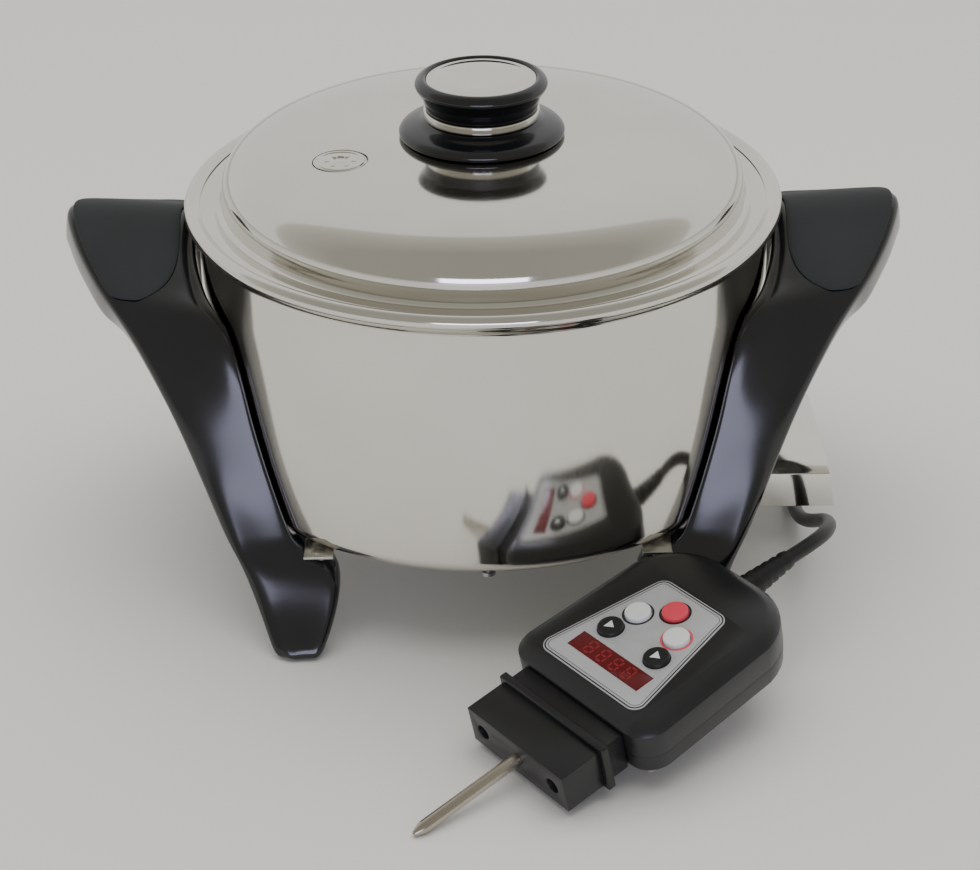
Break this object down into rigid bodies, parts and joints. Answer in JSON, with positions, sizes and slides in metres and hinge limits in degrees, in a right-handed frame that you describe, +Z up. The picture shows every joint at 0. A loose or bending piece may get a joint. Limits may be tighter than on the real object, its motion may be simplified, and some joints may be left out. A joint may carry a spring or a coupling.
{
  "type": "slow cooker",
  "caption": "Electric slow cooker: steel vessel on two arched black handles that form its legs, domed lid with knob and vent valve, and a detached plug-in probe controller with cord.",
  "frame": {"origin": "on the surface the cooker stands on, at the middle of the box around the cooker and its controller without the cord", "axes": "+Z up; +X towards the handle that covers the socket; -Y towards the side where the controller lies"},
  "size_m": [0.3564, 0.4368, 0.2086],
  "materials": {
    "polished_steel": "stainless steel, pressed and mirror polished",
    "satin_steel": "stainless steel sheet, satin",
    "screw_steel": "zinc-plated steel screws",
    "aluminium": "cast aluminium, dull",
    "sheath": "heat-darkened sheath",
    "ceramic": "unglazed steatite",
    "phenolic": "black phenolic, glossy moulding",
    "grip_black": "soft black patch, fine grain",
    "rubber_black": "black rubber",
    "silicone_red": "red silicone",
    "brass": "brass, plated or bare",
    "case_black": "black ABS, satin moulding",
    "panel_grey": "silver-grey printed overlay",
    "display_red": "dark red window",
    "display_dark": "display body",
    "board_green": "glass-fibre board",
    "part_blue": "relay casing",
    "part_dark": "small parts",
    "button_red": "red cap",
    "button_white": "white cap",
    "button_pink": "white cap with a red ring",
    "button_black": "black cap with a white triangle",
    "probe_steel": "stainless probe, satin, used",
    "cord_black": "black PVC cord sheath"
  },
  "bodies": {
    "base": {"pot_body": "polished_steel", "core_plate": "aluminium", "heating_element": "sheath", "sensor_block": "aluminium", "base_cover": "satin_steel", "base_screws": "screw_steel", "terminal_box": "satin_steel", "terminal_insulator": "ceramic", "terminal_pins": "satin_steel", "thermowell": "satin_steel", "socket_guard": "satin_steel", "guard_screws": "screw_steel", "leg_tabs": "satin_steel", "leg_screws": "screw_steel", "handle_left": "phenolic", "handle_right": "phenolic", "grip_left": "grip_black", "grip_right": "grip_black", "bracket_left": "satin_steel", "bracket_right": "satin_steel", "bracket_screws": "screw_steel", "foot_pads": "rubber_black"},
    "lid": {"lid_shell": "polished_steel", "knob_gasket": "silicone_red", "knob_bell": "phenolic", "knob_band": "polished_steel", "knob_grip": "phenolic", "knob_disc": "polished_steel", "knob_insert": "brass", "knob_screw": "screw_steel", "valve_grommet": "rubber_black"},
    "vent_valve": {"valve_cap": "polished_steel"},
    "controller": {"upper_case": "case_black", "lower_case": "case_black", "panel_plate": "panel_grey", "display_window": "display_red", "display_module": "display_dark", "circuit_board": "board_green", "tact_switches": "part_dark", "relay": "part_blue", "capacitor": "part_dark", "plug_collar": "case_black", "plug_head": "case_black", "contact_sleeves": "brass", "contact_straps": "brass", "probe_stem": "probe_steel", "probe_sensor": "ceramic", "case_screws": "screw_steel", "cord_lead": "cord_black", "cord_coil": "cord_black", "coil_tie": "part_dark", "cord_tail": "cord_black", "plug_body": "case_black", "plug_blades": "brass", "strain_relief": "case_black"},
    "button_off": {"button_off": "button_red"},
    "button_time": {"button_time": "button_white"},
    "button_temp": {"button_temp": "button_pink"},
    "button_up": {"button_up": "button_black"},
    "button_down": {"button_down": "button_black"}
  },
  "joints": [
    {"name": "lid_lift", "type": "slide", "parent": "base", "child": "lid", "axis": [0, 0, 1], "range_m": [0, 0.12]},
    {"name": "valve_lift", "type": "slide", "parent": "lid", "child": "vent_valve", "axis": [0, 0, 1], "range_m": [0, 0.0015]},
    {"name": "controller_shift", "type": "slide", "parent": "base", "child": "controller", "axis": [1, 0, 0], "range_m": [0, 0.1]},
    {"name": "press_off", "type": "slide", "parent": "controller", "child": "button_off", "axis": [0.1643, 0.1274, -0.9781], "range_m": [0, 0.0006], "stiffness_N_per_m": 900, "springref_m": -0.0005},
    {"name": "press_time", "type": "slide", "parent": "controller", "child": "button_time", "axis": [0.1643, 0.1274, -0.9781], "range_m": [0, 0.0006], "stiffness_N_per_m": 900, "springref_m": -0.0005},
    {"name": "press_temp", "type": "slide", "parent": "controller", "child": "button_temp", "axis": [0.1643, 0.1274, -0.9781], "range_m": [0, 0.0006], "stiffness_N_per_m": 900, "springref_m": -0.0005},
    {"name": "press_up", "type": "slide", "parent": "controller", "child": "button_up", "axis": [0.1643, 0.1274, -0.9781], "range_m": [0, 0.0006], "stiffness_N_per_m": 900, "springref_m": -0.0005},
    {"name": "press_down", "type": "slide", "parent": "controller", "child": "button_down", "axis": [0.1643, 0.1274, -0.9781], "range_m": [0, 0.0006], "stiffness_N_per_m": 900, "springref_m": -0.0005}
  ]
}
